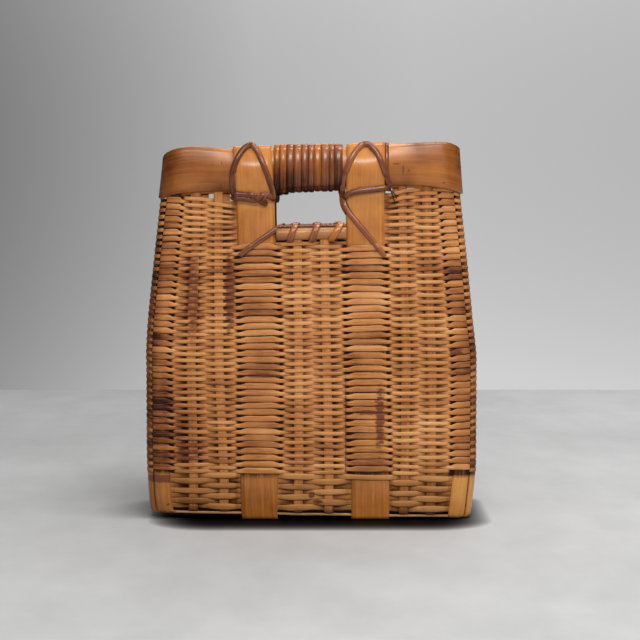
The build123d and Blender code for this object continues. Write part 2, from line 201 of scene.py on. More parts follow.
def lift(x, z, nx):
    """The handmade lean: rounds fall to the right at the foot and rise to it at the top. They sag
    round the sides, and the top ones droop beside the runners."""
    z = np.asarray(z, float)
    lean = -0.018 + 0.0425 * np.clip(z, 0, WEAVE_TOP) / 370
    sag = 0.02 * (302 - z) * ease(z, 60, 150)
    left = np.interp(x, (-175, -153, -127, -109, -91, -60, -40), (0.0, 1.6, 3.6, 5.8, 8.0, 8.0, 0.0))
    right = np.interp(x, (60, 70, 90, 108), (0.0, 4.4, 4.4, 0.0))
    droop = left * ease(z, 322, 374) + right * ease(z, 346, 376)
    return z + x * lean + sag * nx**2 - droop


def turn_lengths(z):
    """Where each sector ends, measured round the wall from the middle of the front."""
    end_x, end_y, tilt_x, tilt_y, radius = outline(z, 0.0)[-5:]
    arc = radius * (math.pi / 2 - tilt_x - tilt_y)
    return np.cumsum([end_x, arc, 2 * end_y, arc, 2 * end_x, arc, 2 * end_y, arc, end_x])


def locate(distance, z):
    """Sector and share of places at these distances round the wall."""
    ends = turn_lengths(z)
    starts = np.concatenate([[0], ends[:-1]])
    distance = np.mod(distance, ends[-1])
    sector = np.minimum(np.searchsorted(ends, distance, side="right"), 8)
    part = (distance - starts[sector]) / (ends - starts)[sector]
    face = (sector % 2 == 0) & (sector > 0)
    share = np.select([sector == 8, face], [part - 1, 2 * part - 1], part)
    return np.where(sector == 8, 0, sector), share


def face_y(x, z, inset):
    """The front wall's y, without the corners."""
    swell = bow(z)
    return -(half_depth(z) - inset - swell * (x / (half_width(z) - swell)) ** 2)


def bow_between(x, z, middle):
    """How much further back the bowed front is at x than at middle."""
    return face_y(x, z, 0) - face_y(middle, z, 0)


def place(row, z):
    return np.interp(z, PLACE_Z, row)


def corner_width(z):
    return 20.8 - 5.8 * min(z, 415.0) / 415.0


def uprights(z):
    """Distances round the wall, and half widths, of the uprights at height z."""
    ends = turn_lengths(z)
    total = ends[-1]
    half_corner = corner_width(z) / 2 * 1.03
    wide_corner = ends[0] + WIDE_ARC - half_corner
    narrow_corner = ends[1] - NARROW_ARC + half_corner
    middle = total / 4
    lean = 1 - 0.5 * (1 - half_width(z) / BELLY_WIDE)
    quarter = [wide_corner, narrow_corner, middle - SIDE_STEP * lean, middle]

    def side(rows):
        near = [place(row, z) for row in rows]
        return near + quarter + [total / 2 - d for d in reversed(near + quarter[:-1])]

    distances = side(RIGHT_PLACES) + [total - d for d in reversed(side(LEFT_PLACES))]
    one = [STAKE_HALF, RUNNER_HALF, STAKE_HALF, STAKE_HALF, half_corner, half_corner, STAKE_HALF]
    halves = one + [STAKE_HALF] + one[::-1]
    return np.array(distances), np.array(halves + halves[::-1]), total


# ---- meshes ----


def new_object(name, data):
    piece = bpy.data.objects.new(name, data)
    bpy.context.scene.collection.objects.link(piece)
    return piece


class Builder:
    """Collects closed swept shapes and turns them into one mesh object."""

    def __init__(self):
        self.points, self.quads, self.caps, self.tones, self.grains = [], [], [], [], []
        self.count = 0

    def sweep(self, grid, tone, closed=False, grain=None):
        """grid holds stations by section points; each section is a closed loop."""
        stations, around, _ = grid.shape
        index = np.arange(stations * around).reshape(stations, around)
        here = index if closed else index[:-1]
        there = np.roll(index, -1, 0) if closed else index[1:]
        quads = np.stack([here, np.roll(here, -1, 1), np.roll(there, -1, 1), there], -1).reshape(-1, 4)
        flat = grid.reshape(-1, 3)
        caps = [] if closed else [index[0][::-1], index[-1]]
        outward = (grid - grid.mean(1)[:, None]).reshape(-1, 3)[quads[:, 0]]
        a, b, c, d = (flat[quads[:, i]] for i in range(4))
        if np.sum(np.cross(c - a, d - b) * outward) < 0:
            quads, caps = quads[:, ::-1], [cap[::-1] for cap in caps]
        self.points.append(flat)
        self.quads.append(quads + self.count)
        self.caps += [cap + self.count for cap in caps]
        tone = np.asarray(tone, float)
        tone = tone[:, None] if tone.ndim == 1 else tone
        self.tones.append(np.broadcast_to(tone, (stations, around)).reshape(-1))
        if grain is None:
            along = distance_along(grid.mean(1))[:, None]
            edge = np.linalg.norm(np.diff(grid, axis=1), axis=2)
            across = np.concatenate([np.zeros((stations, 1)), np.cumsum(edge, 1)], 1)
            grain = joined(along, across, 37.0 * len(self.points))
        self.grains.append(grain.reshape(-1, 3))
        self.count += len(flat)

    def build(self, name, material, slot, replaced=()):
        mesh = bpy.data.meshes.new(name)
        points, tones, grains = (
            np.concatenate(rows).astype(np.float32).ravel()
            for rows in ([p * MM for p in self.points], self.tones, self.grains)
        )
        quads = np.concatenate(self.quads)
        loops = np.concatenate([quads.reshape(-1)] + self.caps).astype(np.int32)
        sizes = np.array([4] * len(quads) + [len(cap) for cap in self.caps], np.int32)
        mesh.vertices.add(self.count)
        mesh.vertices.foreach_set("co", points)
        mesh.loops.add(len(loops))
        mesh.loops.foreach_set("vertex_index", loops)
        mesh.polygons.add(len(sizes))
        mesh.polygons.foreach_set("loop_start", (np.cumsum(sizes) - sizes).astype(np.int32))
        mesh.polygons.foreach_set("use_smooth", np.full(len(sizes), True))
        mesh.attributes.new("tone", "FLOAT", "POINT").data.foreach_set("value", tones)
        mesh.attributes.new("grain", "FLOAT_VECTOR", "POINT").data.foreach_set("vector", grains)
        mesh.update(calc_edges=True)
        mesh.validate()
        mesh.materials.append(material)
        piece = new_object(name, mesh)
        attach(piece, "root")
        if replaced:
            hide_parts(*replaced)


# ---- materials ----


def srgb(red, green, blue):
    """A colour given as it looks on a screen, 0 to 255."""
    values = [c / 255 for c in (red, green, blue)]
    return tuple(c / 12.92 if c <= 0.04045 else ((c + 0.055) / 1.055) ** 2.4 for c in values) + (1.0,)


class Shader:
    """Adds and links the nodes of a material or a world."""

    def __init__(self, owner):
        owner.use_nodes = True
        self.tree = owner.node_tree

    def add(self, kind, inputs=(), **settings):
        node = self.tree.nodes.new("ShaderNode" + kind)
        for key, value in settings.items():
            setattr(node, key, value)
        self.fill(node, inputs)
        return node

    def fill(self, node, inputs):
        """Links the inputs that are sockets, and sets the plain values on the node itself."""
        for key, value in dict(inputs).items():
            if isinstance(value, bpy.types.NodeSocket):
                self.tree.links.new(value, node.inputs[key])
            else:
                node.inputs[key].default_value = value

    def math(self, operation, a, b, clamp=False):
        return self.add("Math", {0: a, 1: b}, operation=operation, use_clamp=clamp).outputs[0]

    def plus(self, a, b, clamp=False):
        return self.math("ADD", a, b, clamp)

    def times(self, a, b, clamp=False):
        return self.math("MULTIPLY", a, b, clamp)

    def vector(self, operation, a, b=(0, 0, 0)):
        return self.add("VectorMath", {0: a, 1: b}, operation=operation).outputs

    def mix(self, factor, a, b):
        return self.add("Mix", {0: factor, 6: a, 7: b}, data_type="RGBA").outputs[2]

    def noise(self, vector, scale, stretch=(1, 1, 1), detail=3.0, rough=0.55, shift=(0, 0, 0)):
        mapped = self.add("Mapping", {"Vector": vector, "Scale": stretch, "Location": shift}).outputs[0]
        inputs = {"Vector": mapped, "Scale": scale, "Detail": detail, "Roughness": rough}
        return self.add("TexNoise", inputs).outputs["Fac"]

    def remap(self, value, low, high, to_low=0.0, to_high=1.0):
        return self.add("MapRange", {0: value, 1: low, 2: high, 3: to_low, 4: to_high}).outputs[0]

    def ramp(self, value, stops):
        node = self.add("ValToRGB", {0: value})
        ramp = node.color_ramp
        while len(ramp.elements) < len(stops):
            ramp.elements.new(0.5)
        for element, (position, colour) in zip(ramp.elements, stops):
            element.position, element.color = position, colour
        return node.outputs[0]


def ellipse_mask(s, position, spots):
    """Soft ellipses in the X-Z plane, as x, z, half width, half height and strength. They are on
    the front only, and fade out before the sides."""
    total = 0.0
    for x, z, half_x, half_z, strength in spots:
        moved = s.vector("ADD", position, (-x * MM, 0, -z * MM))[0]
        scaled = s.vector("MULTIPLY", moved, (1 / (half_x * MM), 0, 1 / (half_z * MM)))[0]
        mask = s.remap(s.vector("LENGTH", scaled)["Value"], 1.0, 0.35, 0.0, strength)
        total = s.math("MAXIMUM", total, mask)
    depth = s.add("SeparateXYZ", {0: position}).outputs[1]
    return s.times(total, s.remap(depth, -0.045, -0.09))


STAIN = srgb(92, 42, 26)


def bamboo(
    name, dark, mid, light, fibre, grain=True, gloss=0.38, coat=0.25, bump=0.25, shine=0.35,
    streak=1.0, polish=0.2, spots=(), painted_shade=(), pale=(),
):
    """Split bamboo or cane: fibres along the strip, blotches, flecks and a polished skin.

    fibre is the noise stretch over the grain attribute (along, across, piece) in millimetres,
    or over the position in metres. spots are stains, the next places darken with painted shade, and pale
    lightens."""
    material = bpy.data.materials.new(name)
    s = Shader(material)
    position = s.add("TexCoord").outputs["Object"]
    vector = s.add("Attribute", attribute_name="grain").outputs["Vector"] if grain else position
    tone = s.add("Attribute", attribute_name="tone").outputs["Fac"]

    def fibrous(share, detail, rough=0.55, shift=(0, 0, 0)):
        return s.noise(vector, 1.0, tuple(f * share for f in fibre), detail, rough, shift)

    fibres = fibrous(1.0, 4.0, 0.65)
    broad = fibrous(0.22, 2.0, shift=(3.1, 7.7, 1.3))
    blotch = s.noise(position, 26.0)
    mist = s.noise(position, 7.0, detail=2.0, shift=(5, 2, 8))
    parts = ((fibres, 0.55 * streak), (broad, 0.5 * streak), (blotch, 0.5), (mist, 0.45), (tone, 1.0))
    value = 0.0
    for part, amount in parts:
        value = s.plus(value, s.times(s.math("SUBTRACT", part, 0.5), amount))
    # Painted shade darkens the first places, and pale lightens the second.
    for operation, places in (("SUBTRACT", painted_shade), ("ADD", pale)):
        if places:
            value = s.math(operation, value, ellipse_mask(s, position, places))
    value = s.plus(value, 0.5, clamp=True)
    # The ramp's darkest stop is the colour painted shade drives the tone to.
    deepest_shade = [c * f for c, f in zip(dark, (0.36, 0.28, 0.22))]
    stops = ((0.0, srgb(*deepest_shade)), (0.16, srgb(*dark)), (0.5, srgb(*mid)), (0.92, srgb(*light)))
    colour = s.ramp(value, stops)
    specks = fibrous(0.6, 2.0, 0.4, (9, 4, 6))
    patches = s.noise(position, 60.0, detail=2.0, shift=(1, 6, 3))
    flecks = s.times(s.remap(specks, 0.60, 0.70), s.remap(patches, 0.52, 0.62), clamp=True)
    colour = s.mix(s.times(flecks, 0.35), colour, STAIN)
    if spots:
        mask = ellipse_mask(s, position, spots)
        broken = s.noise(position, 1.0, (150, 150, 420), rough=0.6, shift=(2, 2, 9))
        edge = s.plus(broken, s.times(mask, 0.42))
        patch = s.times(s.remap(edge, 0.66, 0.84), s.remap(mask, 0.02, 0.3), clamp=True)
        colour = s.mix(s.times(patch, 0.85), colour, STAIN)
    relief = s.plus(s.times(fibres, 0.7), s.times(blotch, 0.3))
    bumped = s.add("Bump", {"Strength": bump, "Distance": 0.0004, "Height": relief})
    looks = {
        "Base Color": colour,
        "Roughness": s.remap(value, 0.15, 0.85, gloss + 0.12, gloss - 0.04),
        "Coat Weight": s.remap(value, 0.1, 0.4, 0.0, coat) if coat else 0.0,
        "Coat Roughness": polish,
        "Specular IOR Level": shine,
        "Normal": bumped.outputs[0],
    }
    s.fill(s.tree.nodes["Principled BSDF"], looks)
    return material


WEAVE_SPOTS = (
    (-137, 263, 11, 72, 1.0), (-94, 263, 9, 70, 1.0), (-56, 168.5, 32, 3.2, 1.5),
    (79, 120, 8, 66, 0.9), (67, 126, 26, 3.2, 1.4), (166, 196, 12, 7, 1.2),
    (-142, 78, 22, 16, 0.95), (39.6, 104, 0.8, 92, 1.7),
)
# Painted shade on the weave: darker towards the left, low on the left and along both side edges.
WEAVE_SHADE = (
    (-185, 90, 95, 150, 0.26), (-140, 195, 70, 160, 0.1),
    (205, 150, 45, 240, 0.16), (-205, 180, 42, 270, 0.46),
)
BORDER_SPOTS = ((-22, 45, 4.5, 4.5, 1.5), (0, 30, 5, 5, 1.2), (8, 22, 8, 4, 1.0), (88, 38, 6, 8, 0.8))
FOOT_SPOTS = ((-169, 48.5, 40, 5.5, 2.4), (-166, 18, 2, 2, 1.5))
RIM_SPOTS = (
    (105.3, 404.8, 0.9, 8, 1.9), (97.3, 411.7, 6, 1.0, 1.5), (112, 404, 1.6, 1.4, 1.6),
    (152, 390, 3.2, 1.0, 1.6), (-102.8, 412.9, 0.9, 2.6, 1.6), (-104, 387.5, 1.8, 1.1, 1.6),
)
MATT = {"gloss": 0.5, "coat": 0.0, "shine": 0.2}
SATIN = {"gloss": 0.4, "shine": 0.2}
CANE = {"gloss": 0.4, "coat": 1.0, "bump": 0.2, "shine": 0.25}

weave_skin = bamboo(
    "weave", (114, 62, 30), (178, 117, 65), (219, 163, 109), (70, 70, 1500), grain=False,
    spots=WEAVE_SPOTS, painted_shade=WEAVE_SHADE, pale=((-128, 345, 75, 48, 0.1),), **MATT,
)
# The border's painted shade darkens its lower left.
border_skin = bamboo(
    "border_weave", (104, 60, 28), (166, 110, 60), (206, 153, 95), (60, 60, 1200), grain=False,
    spots=BORDER_SPOTS, painted_shade=((-130, 28, 75, 60, 0.16),), **MATT,
)
stake_skin = bamboo("stakes", (106, 58, 27), (177, 114, 62), (210, 150, 94), (0.05, 1.6, 1), **MATT)
slat_skin = bamboo("slats", (132, 74, 26), (184, 114, 48), (208, 140, 68), (0.035, 1.5, 1), coat=0.7, **SATIN)
# The corner slats' painted shade darkens the left foot.
foot_skin = bamboo(
    "corner_slats", (112, 66, 24), (170, 108, 48), (206, 144, 72), (0.04, 1.2, 1), coat=0.5,
    spots=FOOT_SPOTS, painted_shade=((-170, 20, 40, 70, 0.07),), **SATIN,
)
rim_skin = bamboo(
    "rim_bamboo", (106, 55, 15), (159, 92, 31), (192, 125, 53), (0.03, 1.1, 1), coat=0.85, bump=0.08,
    streak=0.62, polish=0.27, spots=RIM_SPOTS, **SATIN,
)
rattan_skin = bamboo("rattan", (71, 31, 10), (130, 68, 29), (188, 116, 62), (0.08, 2.2, 1), **CANE)
amber_skin = bamboo("amber_rattan", (112, 54, 10), (166, 94, 24), (206, 134, 50), (0.08, 2.2, 1), **CANE)
sill_skin = bamboo(
    "sill_bamboo", (88, 48, 20), (128, 78, 37), (176, 120, 66), (0.05, 0.9, 1), gloss=0.4, coat=0.6,
    bump=0.15, shine=0.25,
)
hoop_skin = bamboo("hoop", (120, 78, 44), (172, 122, 74), (210, 164, 112), (0.05, 1.2, 1))
# The base mat and slats have a dark palette: painted shade, as they lie in shadow under the basket.
shaded_mat_skin = bamboo("base_mat", (70, 40, 20), (118, 76, 42), (150, 104, 62), (60, 60, 60), grain=False)
fibre_skin = bamboo("dark_fibre", (24, 16, 10), (44, 30, 20), (70, 50, 34), (0.1, 2, 1), gloss=0.5, coat=0.0)


# ---- the rounds of weave ----

# Sections of a strip: height as a share of half its width, and millimetres outward. The third
# value changes the tone: painted shade, darker on the lower edge, under the strip, and inside.
FINE_SECTION = np.array((
    (-1.0, -0.3, -0.7), (-0.93, 0.28, -0.42), (-0.74, 0.50, -0.03), (0.0, 0.58, 0.04),
    (0.78, 0.50, 0.02), (0.95, 0.26, 0.0), (1.0, -0.3, -0.4), (0.9, -0.55, -0.4), (-0.9, -0.55, -0.6),
))
BORDER_SECTION = np.array((
    (-1.0, -0.2, -0.5), (-0.86, 0.5, -0.15), (-0.5, 0.82, 0.0), (0.3, 0.85, 0.04),
    (0.82, 0.55, 0.0), (1.0, -0.1, -0.2), (0.8, -0.85, -0.3), (-0.8, -0.85, -0.4),
))
# Section, height where a strip is held, swing in and out, and how much it widens over a slat.
FINE = (FINE_SECTION, FINE_PITCH + 0.75, 1.85, 2.5)
BORDER = (BORDER_SECTION, BORDER_PITCH + 0.35, 2.2, 0.0)


def ripple(turn, z):
    """A slow waviness that neighbouring rounds share, so that they stay apart."""
    a = math.tau * turn
    slow, middle = 0.45 * np.sin(3 * a + z * 0.031), 0.35 * np.sin(7 * a - z * 0.047 + 1.3)
    return slow + middle + 0.25 * np.sin(16 * a + z * 0.083 + 0.4)


def nearness(k, half, off):
    """What an upright does to a strip at this distance from its middle: how far the strip bulges
    over a runner, how far it spreads over a broad slat, and how much painted shade it takes beside one."""
    taper, reach = (8.0, 8.0) if k in RUNNERS else (1.2, 5.5)
    bulge = np.clip(1 - (off / half) ** 2, 0, 1) * (k in RUNNERS)
    broad = ease(off, half + 2.2, half - taper) * (k in SPREAD_OVER)
    beside = ease(off, half + reach, half + 2.0) * (k in RUNNERS + CORNERS)
    return np.stack([bulge, broad, beside])


def strip_between(k, around, covers, loose, tones):
    """A strip from upright k to just before the next: places round the wall, and there how far it
    is outside, how far it can spread, its tone and its nearness."""
    distances, halves, total = around
    a, b = k % UPRIGHTS, (k + 1) % UPRIGHTS
    here = distances[a] + total * (k // UPRIGHTS)
    there = distances[b] + total * ((k + 1) // UPRIGHTS)
    half_a, half_b = halves[a], halves[b]
    begin, end = here + max(half_a - 2.6, 0.8), there - max(half_b - 2.6, 0.8)
    if a in CORNERS and b in CORNERS:
        if a in SPREAD_OVER:
            begin, end = here + half_a - 0.8, here + half_a + 2.8
        else:
            begin, end = there - half_b - 2.8, there - half_b + 0.8
    over_a, over_b = (6 if half > 12 else (3 if half > 6 else 1) for half in (half_a, half_b))
    crossing = 9 if there - here > 20 else 7
    places = np.concatenate(
        [stretch(here, begin, over_a), stretch(begin, end, crossing), stretch(end, there, over_b)]
    )
    part = np.clip((places - begin) / (end - begin), 0, 1)
    if half_a > half_b + 1.0:
        part = 1 - (1 - part) ** 1.4
    elif half_b > half_a + 1.0:
        part = part**1.4
    part = (1 - np.cos(math.pi * part)) / 2
    level, spread = (row[a] + (row[b] - row[a]) * part for row in (covers, loose))
    tone = np.where(places < (here + there) / 2, tones[a], tones[b])
    near_a, near_b = nearness(a, half_a, np.abs(places - here)), nearness(b, half_b, np.abs(places - there))
    return np.stack([places, level, spread, tone, *np.maximum(near_a, near_b)])


def weave_round(builder, z, covers, loose, tall, tones, strip, span=None):
    """One round of plain weave, closed, or from one upright to another where it has a span.

    covers is 1 where it passes outside an upright, -1 inside. loose is 1 where its neighbours
    pass on the other side, so that it can spread until it is tall."""
    section, held, swing, widen = strip
    distances, _, total = around = uprights(z)
    first, last = span or (0, UPRIGHTS)
    parts = [strip_between(k, around, covers, loose, tones) for k in range(first, last)]
    if span:
        b = last % UPRIGHTS
        at = distances[b] + total * (last // UPRIGHTS)
        parts.append(np.array([at, covers[b], loose[b], tones[b], 0.0, 1.0, 1.0])[:, None])
    where, *rows = np.concatenate(parts, 1)
    level, spread, tone, bulge, broad, beside = (row[:, None] for row in rows)
    profile, outward, edge_shade = section.T[:, None]
    extra = widen * broad * np.clip(level, 0, 1) * spread
    height = held + (tall - held) * np.abs(level) ** 0.65 * spread + extra
    sector, share = locate(where, z)
    phase = rng.uniform(0, 6.28, 3)
    waves = sum(np.sin(math.tau * where / total * n + p) for n, p in zip((5, 11, 23), phase))
    heights = z + 0.09 * waves[:, None] + profile * height / 2 + extra / 2
    inset = STAKE_MIDDLE - swing * level - bulge * (level > 0) * level - outward
    x, y, nx, _ = wall(sector[:, None], share[:, None], heights, inset)
    top = lift(x, heights + ripple(where / total, z)[:, None], nx)
    # Painted shade: a strip is darkened where it passes behind an upright, most beside the runners and corner
    # slats.
    behind = np.where(outward > -0.3, -level, level)
    narrow_shadow = 0.36 * ease(behind, 0.55, 1.0)
    wide_shadow = 0.8 * ease(behind, -0.3, 0.45)
    hidden = narrow_shadow + (wide_shadow - narrow_shadow) * beside
    # Over a broad slat the painted edge shade is weaker and the strip's tone lower.
    if widen:
        edge_shade = edge_shade * (1 - 0.45 * broad)
        tone = tone - 0.1 * broad
    builder.sweep(joined(x, y, top), tone + edge_shade - hidden * spread, closed=not span)


def round_tones():
    return np.clip(0.5 + rng.normal(0, 0.06) + rng.normal(0, 0.05, UPRIGHTS), 0.1, 0.9)


def alternate(row):
    return np.where((np.arange(UPRIGHTS) + row) % 2 == 1, 1.0, -1.0)


def weave_border():
    builder = Builder()
    broad = list(RUNNERS + CORNERS)
    loose = np.ones(UPRIGHTS)
    loose[broad] = 0
    for row in range(BORDER_ROWS):
        covers = alternate(row)
        covers[broad] = -1.0
        if row == BORDER_ROWS - 1:
            covers[[1, 13]] = 1.0
        z = BORDER_LOW + BORDER_PITCH * (row + 0.5) + rng.normal(0, 0.15)
        tall = 7.8 + rng.normal(0, 0.35)
        weave_round(builder, z, covers, loose, tall, round_tones(), BORDER)
    builder.build("weave_border", border_skin, "weave", ["border_rows"])


def weave_wall():
    parts = {"lower": ["front"], "middle": ["back"], "upper": ["left", "right"]}
    builders = [Builder() for _ in parts]
    for i in range(FINE_ROWS):
        z = FINE_LOW + FINE_PITCH * (i + 0.5) + rng.normal(0, 0.05)
        builder = builders[int(len(parts) * (i + 0.5) / FINE_ROWS)]
        covers, loose = alternate(BORDER_ROWS + i), np.ones(UPRIGHTS)
        if i == 0:
            covers[[4, 10, 19]] = -1.0
        tall = 4.75 + rng.normal(0, 0.1)
        tones = round_tones()
        spans = [None]
        if z > BARE_Z:
            covers[list(RUNNERS)] = -1.0
            loose[list(RUNNERS)] = 0.0
            spans = [(1, 13), (16, 28)]
            if z < SILL_LOW - 2.5:
                spans += [(13, 16), (28, 31)]
        for span in spans:
            weave_round(builder, z, covers, loose, tall, tones, FINE, span)
    for builder, (part, faces) in zip(builders, parts.items()):
        linings = [face + "_weave_lining" for face in faces]
        builder.build("weave_" + part, weave_skin, "weave", ["weave_rows_" + part] + linings)


# ---- uprights ----


def ribbon(builder, stations, columns, bulge, tone):
    """A slat that follows the wall. Each station is distance round the wall, half width, and the
    height and inset of its outer and inner faces."""
    u = np.linspace(-1, 1, columns)
    swell, edge = bulge * (1 - u**2), 0.35 * np.abs(u) ** 8
    grid = []
    for distance, half, z_out, inset_out, z_in, inset_in in stations:
        sector, share = locate(distance + u * half, max(min(z_out, 400.0), 3.0))
        section = []
        for way, z, inset in ((1, z_out, inset_out - swell + edge), (-1, z_in, inset_in)):
            x, y, nx, _ = wall(sector[::way], share[::way], z, inset)
            section.append(joined(x, y, lift(x, z, nx)))
        grid.append(np.concatenate(section))
    builder.sweep(np.array(grid), tone)


def straight(k, half_of, low, high, steps):
    levels = np.linspace(low, high, steps)
    return [(uprights(z)[0][k], half_of(z), z, STAKE_OUT, z, STAKE_IN) for z in levels]


def corner_foot(distance, half):
    """The slat's end turned in under the base over a tight heel."""
    toe = 0.94
    stations = [
        (distance, half * toe, FOOT_LOW, inset, FOOT_LOW + SLAT, inset) for inset in (16.0, 13.0, 10.0)
    ]
    thin = FOOT_RADIUS - SLAT
    high, deep = FOOT_LOW + FOOT_RADIUS, STAKE_OUT + FOOT_RADIUS
    for sine, cosine in quarter_turn(9)[:-1]:
        outer = (high - FOOT_RADIUS * cosine, deep - FOOT_RADIUS * sine)
        inner = (high - thin * cosine, deep - thin * sine)
        stations.append((distance, half * (toe + (1 - toe) * sine), *outer, *inner))
    return stations


# The uprights of each piece, and of the corner slats the tone where they are bare.
STAKES = {
    "front_stakes": (0, 2, 3, 26, 27, 29),
    "back_stakes": (11, 12, 14, 15, 17, 18),
    "right_stakes": (6, 7, 8),
    "left_stakes": (21, 22, 23),
}
CORNER_SLATS = {
    "front_right_corner": ((4, 5), 0.84),
    "back_right_corner": ((9, 10), 0.5),
    "back_left_corner": ((19, 20), 0.5),
    "front_left_corner": ((24, 25), 0.4),
}


def make_uprights():
    for name, members in STAKES.items():
        builder = Builder()
        for k in members:
            top = SILL_HIGH if k in (0, 14, 15, 29) else STAKE_TOP
            stations = straight(k, lambda z: STAKE_HALF + 0.1 * math.sin(z * 0.03 + k), 9.0, top, 44)
            ribbon(builder, stations, columns=5, bulge=0.3, tone=0.5 + rng.normal(0, 0.08))
        builder.build(name + "_slats", stake_skin, "weave", [name])
    low = FOOT_LOW + FOOT_RADIUS
    for name, (members, bare) in CORNER_SLATS.items():
        builder = Builder()
        for k in members:
            stations = corner_foot(uprights(low)[0][k], corner_width(low) / 2)
            stations += straight(k, lambda z: corner_width(z) / 2, low, STAKE_TOP, 88)
            # Where the weave covers a corner slat it is darkened: painted shade in the gaps between rounds.
            under_weave_shade = 0.0 if k in SPREAD_OVER else 0.1
            tones = [bare if station[2] < FINE_LOW else under_weave_shade for station in stations]
            ribbon(builder, stations, columns=9, bulge=0.7, tone=tones)
        builder.build(name + "_slats", foot_skin, "slat", [name + "_stakes"])


def around(count, level):
    """Distances round the wall, with ten steps in each corner and count on half a face."""
    starts = [0.0, *turn_lengths(level)]
    steps = (count, 10, 2 * count, 10, 2 * count, 10, 2 * count, 10, count)
    return np.concatenate([stretch(*ends) for ends in zip(starts, starts[1:], steps)])


def make_hoop():
    height, outer, inner = 20.0, 3.8, 6.8
    distances = around(24, height)
    sector, share = locate(distances, height)
    insets = np.array([outer + 0.5, outer, outer, outer + 0.5, inner, inner])
    levels = np.array([4.9, 5.4, 7.2, 7.7, 7.7, 4.9])
    x, y, nx, _ = wall(sector[:, None], share[:, None], levels, insets)
    z = lift(x, levels, nx) + 0.25 * np.sin(distances[:, None] * 0.05)
    builder = Builder()
    builder.sweep(joined(x, y, z), 0.55, closed=True)
    builder.build("hoop", hoop_skin, "weave", ["base_hoop"])


# ---- runners ----


def dip(x):
    """How far the top of the rim sinks where the runners and the grip are drawn down tight."""
    places = (-135, -115, -91, -43, 0, 35, 50, 75, 112, 130, 150)
    return np.interp(x, places, (-0.9, 0.5, 2.9, 2.4, 2.8, 3.2, 2.3, 1.2, 0.7, 0.3, -0.4))


def crown_at(z, height=RIM_HEIGHT):
    return RIM_CROWN * np.clip(1 - ((z - RIM_MIDDLE) / (height / 2)) ** 2, 0, 1)


def fold_puff(z):
    """How much more a runner swells along its middle just under its fold."""
    return 1.8 * ease(z, 380, 395) * ease(z, 434, 398)


def runner_centre(side, z, face=-1):
    """The x of a runner's middle. In front it leans near its fold, at the back it stands wider."""
    row = (LEFT_PLACES if side < 0 else RIGHT_PLACES)[1]
    if face < 0:
        aside = (-4.0 if side < 0 else 0.5) * ease(z, JOIN_Z, FOLD_Z)
    else:
        aside = 2.2 * side * ease(z, 250, 340)
    return side * place(row, z) + aside


def runner_half():
    """A front runner's outer and inner lines, from the end tucked inside the rim to the middle of
    the base: y and z of each, how much of the wall's bow it takes, and its crown."""
    inside_in = -(GRIP_BACK_Y - RUNNER_GAP)
    inside_out = inside_in + SLAT
    rim_in, rim_out = -(RIM_FLAT_Y + RUNNER_GAP), -RIM_RUNNER_Y
    end, turn, top_out, top_in = 388, 429, 436.7, 434.1
    lines = [(inside_out, z, inside_in, z, 0, 0.2) for z in np.linspace(end, turn, 6)]
    # The fold: two quarter turns, each with its own reach outside and inside.
    for sine, cosine in quarter_turn(6)[1:]:
        outer = (inside_out - 2 * SLAT * (1 - cosine), top_out - 7.4 * (1 - sine))
        lines.append((*outer, inside_in - SLAT * (1 - cosine), top_in - 2.4 * (1 - sine), 0, 0.4))
    for sine, cosine in quarter_turn(7)[1:]:
        outer = (rim_out + 6.2 - 7.4 * sine, top_out - 2 * SLAT * (1 - cosine))
        lines.append((*outer, rim_in + 3.4 - 4.6 * sine, top_in - SLAT * (1 - cosine), 0, 0.8))
    for z in np.linspace(turn, SHOULDER_Z, 14):
        lines.append((rim_out - crown_at(z), z, rim_in - crown_at(z), z, 0, 1.0))
    join_out, join_in = (face_y(RUNNER_X, JOIN_Z, inset) for inset in (STAKE_OUT, STAKE_IN))
    for z in np.linspace(SHOULDER_Z, JOIN_Z, 6)[1:-1]:
        w = ease(z, JOIN_Z, SHOULDER_Z)
        outer = (join_out + (rim_out - join_out) * w, z)
        lines.append((*outer, join_in + (rim_in - join_in) * w, z, 1 - w, 1.0))
    for z in np.linspace(JOIN_Z, HEEL_TOP, 44):
        outer, inner = (face_y(RUNNER_X, z, inset) for inset in (STAKE_OUT, STAKE_IN))
        lines.append((outer, z, inner, z, 1, 1.0))
    heel_y, thin, squeeze = face_y(RUNNER_X, HEEL_TOP, STAKE_OUT), HEEL - SLAT, 0.9
    for sine, cosine in quarter_turn(9)[1:]:
        middle = heel_y + HEEL * squeeze
        outer = (middle - HEEL * cosine * squeeze, HEEL - HEEL * sine)
        lines.append((*outer, middle - thin * cosine * squeeze, HEEL - thin * sine, cosine, cosine))
    for y in np.linspace(heel_y + HEEL, 0, 6)[1:]:
        lines.append((y, 0.0, y, SLAT, 0, 0))
    return lines


